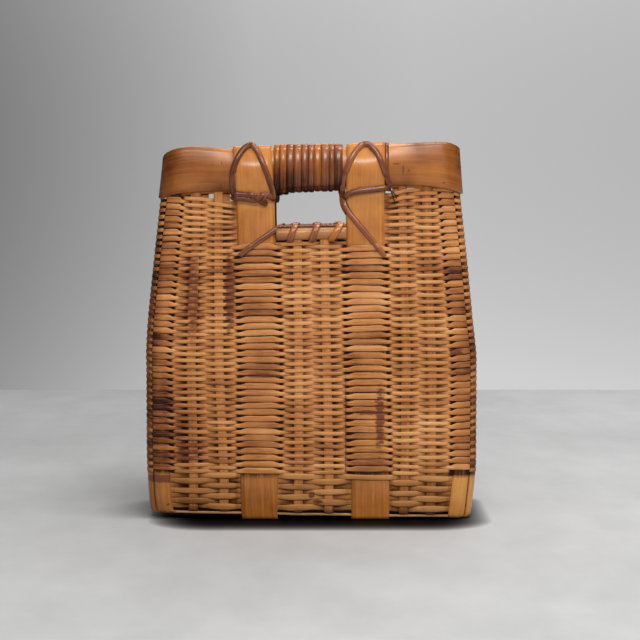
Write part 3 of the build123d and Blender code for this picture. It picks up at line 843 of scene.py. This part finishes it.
def make_runners():
    half = runner_half()
    path = [(line, -1) for line in half] + [(line, 1) for line in reversed(half[:-1])]
    u = np.linspace(-1, 1, 11)
    for side, name in ((-1, "left_runner"), (1, "right_runner")):
        grid, tones = [], []
        for (y_out, z_out, y_in, z_in, follows, swell), face in path:
            centre, width = runner_centre(side, z_out, face), RUNNER_HALF
            if side < 0 and z_out < 60:
                width = 20.6 + 1.4 * z_out / 60
                centre += 0.9 * max(0.0, 1 - z_out / 9) * (face < 0)
            x = centre + u * width
            bowed = follows * bow_between(x, z_out, RUNNER_X)
            up = RIM_RISE * x * ease(z_out, JOIN_Z, SHOULDER_Z) - dip(x) * ease(z_out, 395, 430)
            puff = (swell * RUNNER_CROWN + fold_puff(z_out)) * (1 - u**2) - 0.5 * np.abs(u) ** 10
            top = ease(z_out, 431.0, 435.5)
            away = 1 if y_out < -GRIP_BACK_Y + 2 else -1
            outer_y = y_out + bowed - puff * (1 - top) * away
            outer = joined(x, -face * outer_y, z_out + up + puff * top)
            inner = joined(x, -face * (y_in + bowed), z_in + up)[::-1]
            grid.append(np.concatenate([outer, inner]))
            # Painted shade where the weave covers the runner, low on its foot (more at the left) and on its
            # inner face; painted light across it under the rim, with painted shade just above the weave.
            under_weave_shade = ease(z_out, 50, 56) * ease(z_out, BARE_Z + 1, BARE_Z - 4) * (follows > 0)
            foot = (0.2 if side < 0 else 0.1) * ease(z_out, 60, 50)
            painted_light = 0.22 * ease(z_out, 352, 366) * ease(z_out, 400, 384) * (y_out < -90)
            painted_light = painted_light - 0.14 * ease(z_out, 352, 338) * (z_out > BARE_Z)
            tones.append([0.5 - 0.5 * under_weave_shade - foot + painted_light] * len(u) + [0.02] * len(u))
        builder = Builder()
        builder.sweep(np.array(grid), tones)
        builder.build(name + "_slat", slat_skin, "slat", [name])


# ---- rim ----


def rim_edges(x):
    """How far the band's top and bottom edges drop from the plain band."""
    drops = (0, 0.5, 2.2, 5.3, 8.1, 11.3, 13.5, 15)
    right = np.interp(x, (143, 150.7, 158.4, 166, 170.3, 173.2, 175, 178), drops)
    drops = (0, 0.4, 1.5, 3.3, 6.0, 8.4, 11, 14)
    left = np.interp(-x, (139, 146, 152.8, 159.8, 166.8, 170.3, 172.5, 175), drops)
    bottom = 9.5 * np.clip((x - 130) / 44, 0, 1) ** 1.5 + 3.5 * np.clip((-x - 150) / 24, 0, 1) ** 1.5
    bottom += 1.6 * ease(-x, 60, 95) - 0.5 * ease(x, 60, 90)
    places = (-172, -155, -120, -75, -45, -20, 35, 50, 75, 105, 125, 140, 172)
    rises = (0.2, 1.6, 3.2, 3.2, 3.0, 3.4, 4.2, 4.0, 3.4, 3.2, 2.5, 1.6, 1.5)
    return right + left + dip(x), bottom - np.interp(x, places, rises)


def band_light_and_shade(x, up):
    """Painted light and shade on the band: a painted highlight on the upper half beside the runners with
    painted shade below it, painted shade at the left, at the ends and along the right's upper half, and
    painted light low on the right and at the left end.
    """
    tone = 0.5 - 0.13 * ease(-x, 60, 90) - 0.12 * ease(np.abs(x), 140, 172)
    tone = tone + ease(np.abs(x), 124, 106) * (0.36 * ease(up, 0.38, 0.93) - 0.14 * ease(up, 0.4, 0.05))
    held = ease(x, 162, 148)
    tone = tone + ease(x, 116, 128) * (0.1 * held - (0.1 + 0.1 * held) * ease(up, 0.38, 0.56))
    return tone + 0.1 * ease(-x, 130, 150) * ease(up, 0.3, 0.05)


def band(name, inner_inset, outer_inset, crown):
    """One of the rim's two bands, crowned on the wide faces."""
    distances = around(26, WEAVE_TOP)
    sector, share = locate(distances, WEAVE_TOP)
    # The section's face, then its top edge, inside and bottom edge.
    v = np.linspace(-1, 1, 13)
    out = np.concatenate([np.ones(13), [0.55, 0.1, 0.0, 0.0, 0.0, 0.1, 0.55]])
    up = np.concatenate([v * 0.965, [0.995, 1.0, 0.97, 0.0, -0.97, -1.0, -0.995]])
    bulge = np.concatenate([1 - v**2, np.zeros(7)])
    x0, _, _, ny = wall(sector, share, WEAVE_TOP, outer_inset)
    face = np.abs(ny) ** 3
    swell = crown * face * np.interp(np.abs(x0), (85, 96, 134, 160, 176), (0.9, 0.62, 0.38, 0.3, 0.25))
    thick = inner_inset - outer_inset
    inset = inner_inset - thick * out - bulge * swell[:, None] - 1.2 * (1 - face[:, None])
    share_up = (up[None, :] + 1) / 2
    level = RIM_BOTTOM + RIM_HEIGHT * share_up
    x, y, _, _ = wall(sector[:, None], share[:, None], level, inset)
    drop_top, drop_bottom = rim_edges(x)
    above = level - WEAVE_TOP
    x = x + ease(x, 100, 160) * 0.043 * above + ease(-x, 100, 160) * (1.1 - 0.021 * above)
    low, high = RIM_BOTTOM - drop_bottom, RIM_TOP - drop_top
    grid = joined(x, y, low + (high - low) * share_up + RIM_RISE * x)
    along = distance_along(grid.mean(1))[:, None]
    grain = joined(along, share_up * RIM_HEIGHT, inner_inset)
    builder = Builder()
    builder.sweep(grid, band_light_and_shade(x0[:, None], share_up), closed=True, grain=grain)
    builder.build(name, rim_skin, "rim", [name + "_band"])


# ---- rattan ----


def loop_path(drop_low, drop_high):
    """A loop round both rim bands, as y, z pairs for the front."""
    clear = 1.35
    radius = 2.2 + clear
    low, high = RIM_BOTTOM - clear - drop_low + radius, RIM_TOP + clear - drop_high - radius
    flat_y, back_y = RIM_FLAT_Y + clear, GRIP_BACK_Y - clear + radius
    points = []
    for z in np.linspace(low, high, 16):
        points.append((-(flat_y + crown_at(z, RIM_HEIGHT + 4) * 1.1), z))
    turns = ((flat_y - radius, high), (back_y, high), (back_y, low), (flat_y - radius, low))
    for i, (y, z) in enumerate(turns):
        for t in np.linspace(0, math.pi / 2, 6) + i * math.pi / 2:
            points.append((-(y + radius * math.cos(t)), z + radius * math.sin(t)))
    return evenly(np.array(points + points[:1]), 56, endpoint=False)


def tube(builder, path, normals, wide, thick, tone=0.5, closed=False, taper=0.0, flat=0.35, power=0.85):
    """A cane with a flattened underside: wide across, thick away from what it lies on, which is
    where its normals point, one for each point of its path or one for all."""
    if closed:
        tangent = np.roll(path, -1, 0) - np.roll(path, 1, 0)
    else:
        tangent = np.gradient(path, axis=0)
    tangent /= np.linalg.norm(tangent, axis=1)[:, None]
    normals = normals - tangent * np.sum(normals * tangent, 1)[:, None]
    normals /= np.linalg.norm(normals, axis=1)[:, None]
    side = np.cross(tangent, normals)
    angle = np.linspace(0, math.tau, 12, endpoint=False)
    a, b = np.cos(angle), np.sin(angle)
    a = (np.sign(a) * np.abs(a) ** power)[None, :, None]
    b = np.where(b < -flat, -flat + (b + flat) * 0.25, b)[None, :, None]
    t = np.linspace(0, 1, len(path))
    size = 1 - taper * np.exp(-((1 - t) / 0.06)) - taper * np.exp(-(t / 0.06))
    size_wide, size_thick = ((reach * size)[:, None, None] / 2 for reach in (wide, thick))
    grid = path[:, None] + side[:, None] * (a * size_wide) + normals[:, None] * (b * size_thick)
    builder.sweep(grid, tone, closed)


GRIP_EDGES = (-43.0, -36.3, -28.6, -20.1, -11.5, -3.7, 3.0, 11.3, 20.4, 26.4, 35.6)
AMBER_TURNS = (0, 1, 6)


def make_grips():
    for label, face in FACES:
        dark, amber = Builder(), Builder()
        for i, (left, right) in enumerate(zip(GRIP_EDGES, GRIP_EDGES[1:])):
            x = (left + right) / 2
            share = i / (len(GRIP_EDGES) - 2)
            low = np.interp(share, (0, 0.25, 0.5, 1), (-0.2, -2.8, -3.6, -4.3)) + rng.normal(0, 0.3)
            y, z = loop_path(low, dip(x) - 0.9 + rng.normal(0, 0.25)).T
            slant = 0.6 * (z - RIM_MIDDLE) / RIM_HEIGHT * (1 if i % 2 else 0.6)
            path = joined(x + slant, -face * y, z + RIM_RISE * x)
            step_y, step_z = (np.roll(row, -1) - np.roll(row, 1) for row in (y, z))
            normals = joined(0.0, face * step_z, step_y)
            is_amber = i in AMBER_TURNS
            tone = (0.27 if is_amber else 0.34) + rng.normal(0, 0.05)
            # Painted shade on the lower part of each turn and a painted highlight on its upper part.
            tone = tone - 0.2 * ease(z, RIM_MIDDLE + 8, RIM_BOTTOM)
            tone = tone + 0.19 * ease(z, RIM_MIDDLE + 4, RIM_TOP - 6)
            target = amber if is_amber else dark
            tube(target, path, normals, (right - left) * 1.01, 3.4, tone=tone, closed=True, power=0.8)
        dark.build(label + "_grip_cane", rattan_skin, "rattan", [label + "_grip_binding"])
        amber.build(label + "_grip_amber_cane", amber_skin, "rattan")


# ---- laces and sills ----


def strap_surface(x, z, side):
    """The y of a front runner's outer face, or None beside it."""
    u = (x - runner_centre(side, z)) / RUNNER_HALF
    if abs(u) > 1.04:
        return None
    if z >= SHOULDER_Z:
        base = -RIM_RUNNER_Y - crown_at(z)
    elif z > JOIN_Z:
        w = ease(z, JOIN_Z, SHOULDER_Z)
        low = face_y(RUNNER_X, JOIN_Z, STAKE_OUT)
        base = low + (-RIM_RUNNER_Y - low) * w + (1 - w) * bow_between(x, z, RUNNER_X)
    else:
        base = face_y(x, z, STAKE_OUT)
    return base - (RUNNER_CROWN + fold_puff(z)) * (1 - min(u * u, 1.0))


def front_surface(x, z):
    """The y of whatever stands furthest forward at this place of the front."""
    level = z - RIM_RISE * x
    found = [face_y(x, z, 2.0)]
    if level > RIM_BOTTOM - 1:
        found.append(face_y(x, WEAVE_TOP, -2.0) - crown_at(level))
    if z < BARE_Z:
        found.append(face_y(x, z, -0.8))
    strap = strap_surface(x, level, -1 if x < 0 else 1)
    return min(found + ([] if strap is None else [strap]))


def smooth_path(points, count):
    """A curve through these points, evenly divided."""
    points = np.asarray(points, float)
    padded = np.concatenate([[2 * points[0] - points[1]], points, [2 * points[-1] - points[-2]]])
    t = np.linspace(0, 1, 12, endpoint=False)[:, None]
    curve = []
    for p0, p1, p2, p3 in zip(padded, padded[1:], padded[2:], padded[3:]):
        square, cube = 2 * p0 - 5 * p1 + 4 * p2 - p3, 3 * p1 - p0 - 3 * p2 + p3
        curve.append(0.5 * (2 * p1 + (p2 - p0) * t + square * t**2 + cube * t**3))
    return evenly(np.concatenate(curve + [points[-1:]]), count)


# The laces are laid out in steps of this size, with the basket's middle and its floor at these.
STEP, MIDDLE_STEP, FLOOR_STEP = 1.15, 311.4, 521


def hug(points, count, thick, extra=0.0, face=-1):
    """Lays a curve over the front's surface. Its points are steps across and down the front, and
    a lift in millimetres where there is one. Returns its path and its outward direction."""
    placed = [
        ((across - MIDDLE_STEP) * STEP, (FLOOR_STEP - down) * STEP, *(up or [0.0]))
        for across, down, *up in points
    ]
    x, z, lifted = smooth_path(placed, count).T
    depth = np.array([front_surface(*at) for at in zip(x, z)])
    for _ in range(2):
        depth = np.minimum(depth, (np.roll(depth, 1) + np.roll(depth, -1)) / 2)
        depth[0], depth[-1] = depth[1], depth[-2]
    y = depth - thick * 0.38 - extra - lifted
    return joined(x, -face * y, z), (0.0, face, 0.0)


LACES = {
    "left": {
        "outer": (
            (254, 144.8, -4), (250.6, 144.2, -1), (246.5, 146), (242.5, 150), (238.8, 156), (235.6, 163),
            (233.6, 170), (232.7, 178), (232.8, 185), (234, 192), (236, 197, -1.5),
        ),
        "inner": (
            (248, 145.6, -3.5), (251.6, 144.0, 0.8), (255, 146.4, 0.8), (258.6, 151.5), (261.6, 158.5),
            (264.6, 166), (267.6, 174), (270.6, 182.5), (272.8, 190), (273.6, 196), (273, 200, -1.5),
        ),
        "low": (
            (232.2, 195.3, -4), (233.6, 197.0), (240, 197.3), (248, 197.9), (254.5, 199.2, 0.6),
            (259, 197.5, 1.6), (262.6, 194.5, 1.8), (267.5, 194.4, 0.6), (272, 196.6), (274.6, 199, -3),
        ),
        "high": (
            (231.9, 194, -4), (233.4, 193.2), (240, 193.4), (247, 193.8, 0.4), (252, 194.2, 1.8),
            (257, 197.4, 1.4), (261.4, 200.4, 0.8), (264.6, 202.2, 0.4), (267.4, 203.4),
        ),
        "slant": (
            (282.5, 224.4, -1), (279, 226.2), (274.6, 229.2), (267, 234.4), (258, 240.6), (249, 247),
            (243.6, 251.2), (239.8, 254.6),
        ),
    },
    "right": {
        "outer": (
            (359, 146, -3), (363, 143.6), (368.6, 143.6, 0.8), (372.6, 147.2, 0.8), (377, 153),
            (380.8, 161), (384.2, 170), (387.4, 179), (389, 184.5), (388.6, 190, -2),
        ),
        "inner": (
            (372.5, 146, -5), (368.5, 143.8, -1), (362.8, 143.6), (358, 147.4), (353, 154.6),
            (348.4, 164), (344.8, 173), (342.8, 181), (342.6, 189), (343.6, 194, -1),
        ),
        "low": (
            (342.8, 192, -4), (344.8, 195), (350.4, 192.4), (358, 190.4), (366.4, 189.4), (375, 188.4),
            (383, 187.4), (386.8, 187.2, -0.6), (388, 188.4, -4),
        ),
        "slant": (
            (343.4, 192, -1), (343.6, 197), (345.6, 205), (350.4, 213), (358, 222.4), (366.4, 232.5),
            (374.4, 241.8), (380.4, 249), (385, 255.2),
        ),
        "turn": (
            (386.8, 142.6, -5), (386.6, 143.6), (386.5, 150), (386.5, 160), (386.8, 172), (387.2, 182, -1),
        ),
    },
}
# Each lace's width, its lift over the others, and its tone at the left and at the right.
LACE_LOOKS = {
    "outer": (6.7, 0.0, {"left": 0.22, "right": 0.4}),
    "inner": (6.7, 0.0, {"left": 0.42, "right": 0.5}),
    "low": (7.0, 1.6, {"left": 0.28, "right": 0.5}),
    "high": (6.8, 1.6, {"left": 0.28}),
    "slant": (6.6, 0.0, {"left": 0.38, "right": 0.47}),
    "turn": (4.8, 0.0, {"right": 0.5}),
}
# Where a knot's turns cross the laces, and the points of one turn.
KNOTS = {"left": (253.5, 257.5, 261.5, 265), "right": ()}
KNOT_TURN = ((-1.8, 200.8, -1), (-1.0, 198.6, 2.2), (0.4, 196, 3.0), (1.8, 193.6, 2.2), (2.6, 191.8, -1))
# Two dark fibres that stand loose at the right: their points, width, thickness and tone.
LONG_FIBRE = (
    (389.6, 186.8, 1.0), (391.4, 191, 2.6), (393.4, 196.5, 2.4), (394.6, 200.5, 1.4), (395.3, 204, 0.6),
)
SHORT_FIBRE = ((390, 188.4, 1.2), (392.6, 190.6, 2.2), (395.6, 194.2, 1.8), (396.8, 198.4, 0.8))
LOOSE = ((LONG_FIBRE, 1.3, 1.0, 0.4), (SHORT_FIBRE, 1.0, 0.9, 0.3))


def make_lacings():
    thick = 3.6
    for label, face in FACES:
        for side, laces in LACES.items():
            builder = Builder()
            for key, points in laces.items():
                wide, lifted, tones = LACE_LOOKS[key]
                tone = tones[side] + rng.normal(0, 0.06)
                path, normals = hug(points, 60, thick, lifted, face)
                tube(builder, path, normals, wide, thick, tone=tone, taper=0.25, flat=0.5)
            for middle in KNOTS[side]:
                turn = [(middle + x, z, up) for x, z, up in KNOT_TURN]
                path, normals = hug(turn, 14, 2.6, 1.2, face)
                tube(builder, path, normals, 2.8, 2.4, tone=0.48, taper=0.3)
            builder.build(f"{label}_{side}_laces", rattan_skin, "rattan", [f"{label}_{side}_lacing"])
    builder = Builder()
    for points, wide, thick, tone in LOOSE:
        path, normals = hug(points, 24, 1.2)
        tube(builder, path, normals, wide, thick, tone=tone, taper=0.4, flat=1.0)
    builder.build("loose_fibre", fibre_skin, "rattan")


def sill_bar(builder, face, near, x_low, x_high, outward):
    """A half-round bar lying along the wall, its flat side towards the stakes."""
    angle = np.linspace(-math.pi / 2, math.pi / 2, 12)
    ends, sizes = np.array([0, 0.5, 1.4, 3.0]), [0.82, 0.92, 0.98, 1.0]
    xs = np.concatenate([x_low + ends, np.linspace(x_low + 8, x_high - 8, 14), x_high - ends[::-1]])
    height, deep = SILL_HIGH - SILL_LOW - 1.0, 6.0
    grid = []
    for x, size in zip(xs, sizes + [1.0] * 14 + sizes[::-1]):
        y = near + outward * (deep * size * np.cos(angle) ** 0.9) + bow_between(x, SILL_HIGH, 0)
        z = SILL_MIDDLE + RIM_RISE * x + height / 2 * size * np.sin(angle)
        grid.append(joined(x, -face * y, z))
    # A painted highlight along the bar a little left of its middle, and painted light towards the right.
    tone = 0.6 + 0.3 * np.exp(-(((xs + 12) / 10) ** 2)) + 0.08 * ease(xs, 0, 15)
    builder.sweep(np.array(grid), tone)


def make_sills():
    face_out, face_in = (face_y(0, SILL_HIGH, inset) for inset in (STAKE_OUT, STAKE_IN))
    angle = np.linspace(0, math.tau, 56, endpoint=False)
    sine, cosine = np.sin(angle), np.cos(angle)
    for label, face in FACES:
        bars = Builder()
        sill_bar(bars, face, face_out - 0.1, -40.8, 40.6, -1)
        sill_bar(bars, face, face_in + 0.1, -41.6, 41.0, 1)
        bars.build(label + "_sill_bars", sill_skin, "slat", [label + "_sill"])
        filler = Builder()
        for above, y in ((0.3, face_out - 2.4), (1.1, face_out - 0.2), (0.3, face_in + 2.0)):
            xs = np.linspace(-41.0, 40.5, 90)
            z = SILL_HIGH + above + RIM_RISE * xs + 0.25 * np.sin(xs * 1.1 + y)
            beads = 0.3 + 0.32 * np.sin(xs * 2.4 + y)
            tube(filler, joined(xs, -face * y, z), (0.0, 0.0, 1.0), 3.0, 2.6, tone=beads, taper=0.3)
        filler.build(label + "_sill_cane", rattan_skin, "rattan", [label + "_sill_filler"])
        dark, amber = Builder(), Builder()
        deep = (face_in - face_out) / 2 + 7.6
        across = np.sign(cosine) * np.abs(cosine) ** 0.75 * deep
        up = sine * (SILL_HIGH - SILL_LOW + 4.6) / 2
        for target, top_x, low_x in ((dark, -18.2, -25.4), (dark, 7.2, 0.2), (amber, 34.2, 22.4)):
            slant = (top_x + low_x) / 2 + (top_x - low_x) / 2 * sine * np.where(cosine > -0.2, 1, 0.4)
            y, z = (face_in + face_out) / 2 - across, SILL_MIDDLE + 0.9 + RIM_RISE * slant + up
            normals = joined(0.0, face * across / deep, up / 10)
            tube(target, joined(slant, -face * y, z), normals, 7.6, 2.6, closed=True, flat=0.4)
        dark.build(label + "_sill_wraps", rattan_skin, "rattan", [label + "_sill_ties"])
        amber.build(label + "_sill_amber_wrap", amber_skin, "rattan")


# ---- the room, the light and the camera, in metres ----

FLOOR_EDGE, FLOOR_BACK = 6, 1.56
LENS, SENSOR = 107.0, 36.0
CAMERA_PLACE, CAMERA_DOWN = (0.0099, -2.285, 0.352), 3.13
# Name, place, aim, size, power, and whether glossy surfaces show it.
LIGHTS = (
    ("top", (0.45, -0.6, 1.9), (0, 0, 0.2), (1.0, 0.8), 24, True),
    ("key", (0.05, -2.1, 1.33), (0, 0, 0.3), (1.3, 0.28), 16, True),
    ("fill", (0.25, -2.3, 1.5), (0, 0, 0.25), (1.1, 0.6), 15, False),
    ("front", (0.45, -2.6, 1.0), (0, 0, 0.25), (1.6, 1.6), 10, False),
    ("behind", (0.0, 1.2, 2.0), (0, 0, 0.0), (1.6, 1.0), 12, True),
    ("back", (0.9, 2.3, 2.1), (0, 0, 0.3), (1.4, 0.8), 18, False),
)


def make_floor():
    mesh = bpy.data.meshes.new("floor")
    edge, back = FLOOR_EDGE, FLOOR_BACK
    corners = [(-edge, -edge, 0), (edge, -edge, 0), (edge, back, 0), (-edge, back, 0)]
    mesh.from_pydata(corners, [], [(0, 1, 2, 3)])
    material = bpy.data.materials.new("floor")
    mesh.materials.append(material)
    s = Shader(material)
    position = s.add("TexCoord").outputs["Object"]
    cloud = s.noise(position, 2.2, detail=6.0, rough=0.6)
    scratch = s.noise(position, 14.0, (1.0, 0.35, 1.0), detail=5.0, rough=0.65)
    value = s.plus(s.times(cloud, 0.6), s.times(scratch, 0.4))
    # Painted light on the floor: lighter to the right and towards the back.
    slope = s.vector("DOT_PRODUCT", position, (0.5, 0.3, 0.0))["Value"]
    value = s.plus(value, s.remap(slope, -0.05, 0.65, -0.07, 0.34))
    greys = ((0.1, 162), (0.3, 174), (0.5, 186), (0.7, 198), (0.9, 211))
    colour = s.ramp(value, [(t, srgb(v, v, v)) for t, v in greys])
    # A painted contact shadow under the basket: how far a place is outside a rectangle round its foot.
    centred = s.vector("ADD", position, (-0.010, 0.026, 0))[0]
    past = s.vector("SUBTRACT", s.vector("ABSOLUTE", centred)[0], (0.122, 0.070, 0))[0]
    gap = s.vector("LENGTH", s.vector("MAXIMUM", past)[0])["Value"]
    lit = s.math("POWER", s.remap(gap, 0.0, 0.078), 5.0)
    looks = {"Base Color": s.mix(lit, srgb(3, 4, 6), colour), "Roughness": 0.6, "Specular IOR Level": 0.05}
    s.fill(s.tree.nodes["Principled BSDF"], looks)
    floor = new_object("floor", mesh)


def make_backdrop():
    """A plain grey light on the basket, with the studio's wall where the camera looks past it."""
    world = bpy.data.worlds.new("studio")
    bpy.context.scene.world = world
    s = Shader(world)
    background = s.tree.nodes["Background"]
    s.fill(background, {"Color": (1, 1, 1, 1), "Strength": 0.18})
    split = s.add("SeparateXYZ", {0: s.add("TexCoord").outputs["Generated"]}).outputs
    # The wall that the camera sees has painted light and shade: darker to the left and changing with height.
    across, height = s.remap(split[0], -0.17, 0.17), split[2]
    greys = ((0.0, 128), (0.18, 152), (0.4, 181), (0.65, 190), (1.0, 184))
    shade = s.ramp(across, [(t, (v / 255,) * 3 + (1,)) for t, v in greys])
    bend = s.times(height, s.math("SUBTRACT", s.times(height, 5.5), 0.43))
    level = s.math("MINIMUM", s.plus(shade, bend), 0.81)
    shown = s.add("Background", {0: s.math("POWER", s.math("MAXIMUM", level, 0.1), 2.2)})
    paths = s.add("LightPath").outputs
    seen = s.math("MAXIMUM", paths["Is Camera Ray"], paths["Is Transmission Ray"])
    mixer = s.add("MixShader", {0: seen, 1: background.outputs[0], 2: shown.outputs[0]})
    s.fill(s.tree.nodes["World Output"], {"Surface": mixer.outputs[0]})


def area_light(name, location, aim, size, power, glossy):
    data = bpy.data.lights.new(name, "AREA")
    data.shape = "RECTANGLE"
    data.size, data.size_y = size
    data.energy = power
    lamp = new_object(name, data)
    lamp.location = location
    lamp.rotation_mode = "QUATERNION"
    lamp.rotation_quaternion = Vector(np.subtract(aim, location)).to_track_quat("-Z", "Y")
    lamp.visible_glossy = glossy


def make_camera():
    data = bpy.data.cameras.new("camera")
    data.lens, data.sensor_width = LENS, SENSOR
    camera = new_object("camera", data)
    camera.location = CAMERA_PLACE
    camera.rotation_euler = (math.radians(90 - CAMERA_DOWN), 0, 0)
    bpy.context.scene.camera = camera


weave_border()
weave_wall()
make_uprights()
make_hoop()
make_runners()
band("rim_outer", 1.2, -2.0, RIM_CROWN)
band("rim_inner", 7.4, 4.4, 0.0)
make_grips()
make_lacings()
make_sills()
for node in ("base_mat", "base_slats"):
    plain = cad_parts[node]
    plain.data.materials.clear()
    plain.data.materials.append(shaded_mat_skin)
make_floor()
make_backdrop()
make_camera()
for light in LIGHTS:
    area_light(*light)
bpy.context.scene.view_settings.view_transform = "Standard"
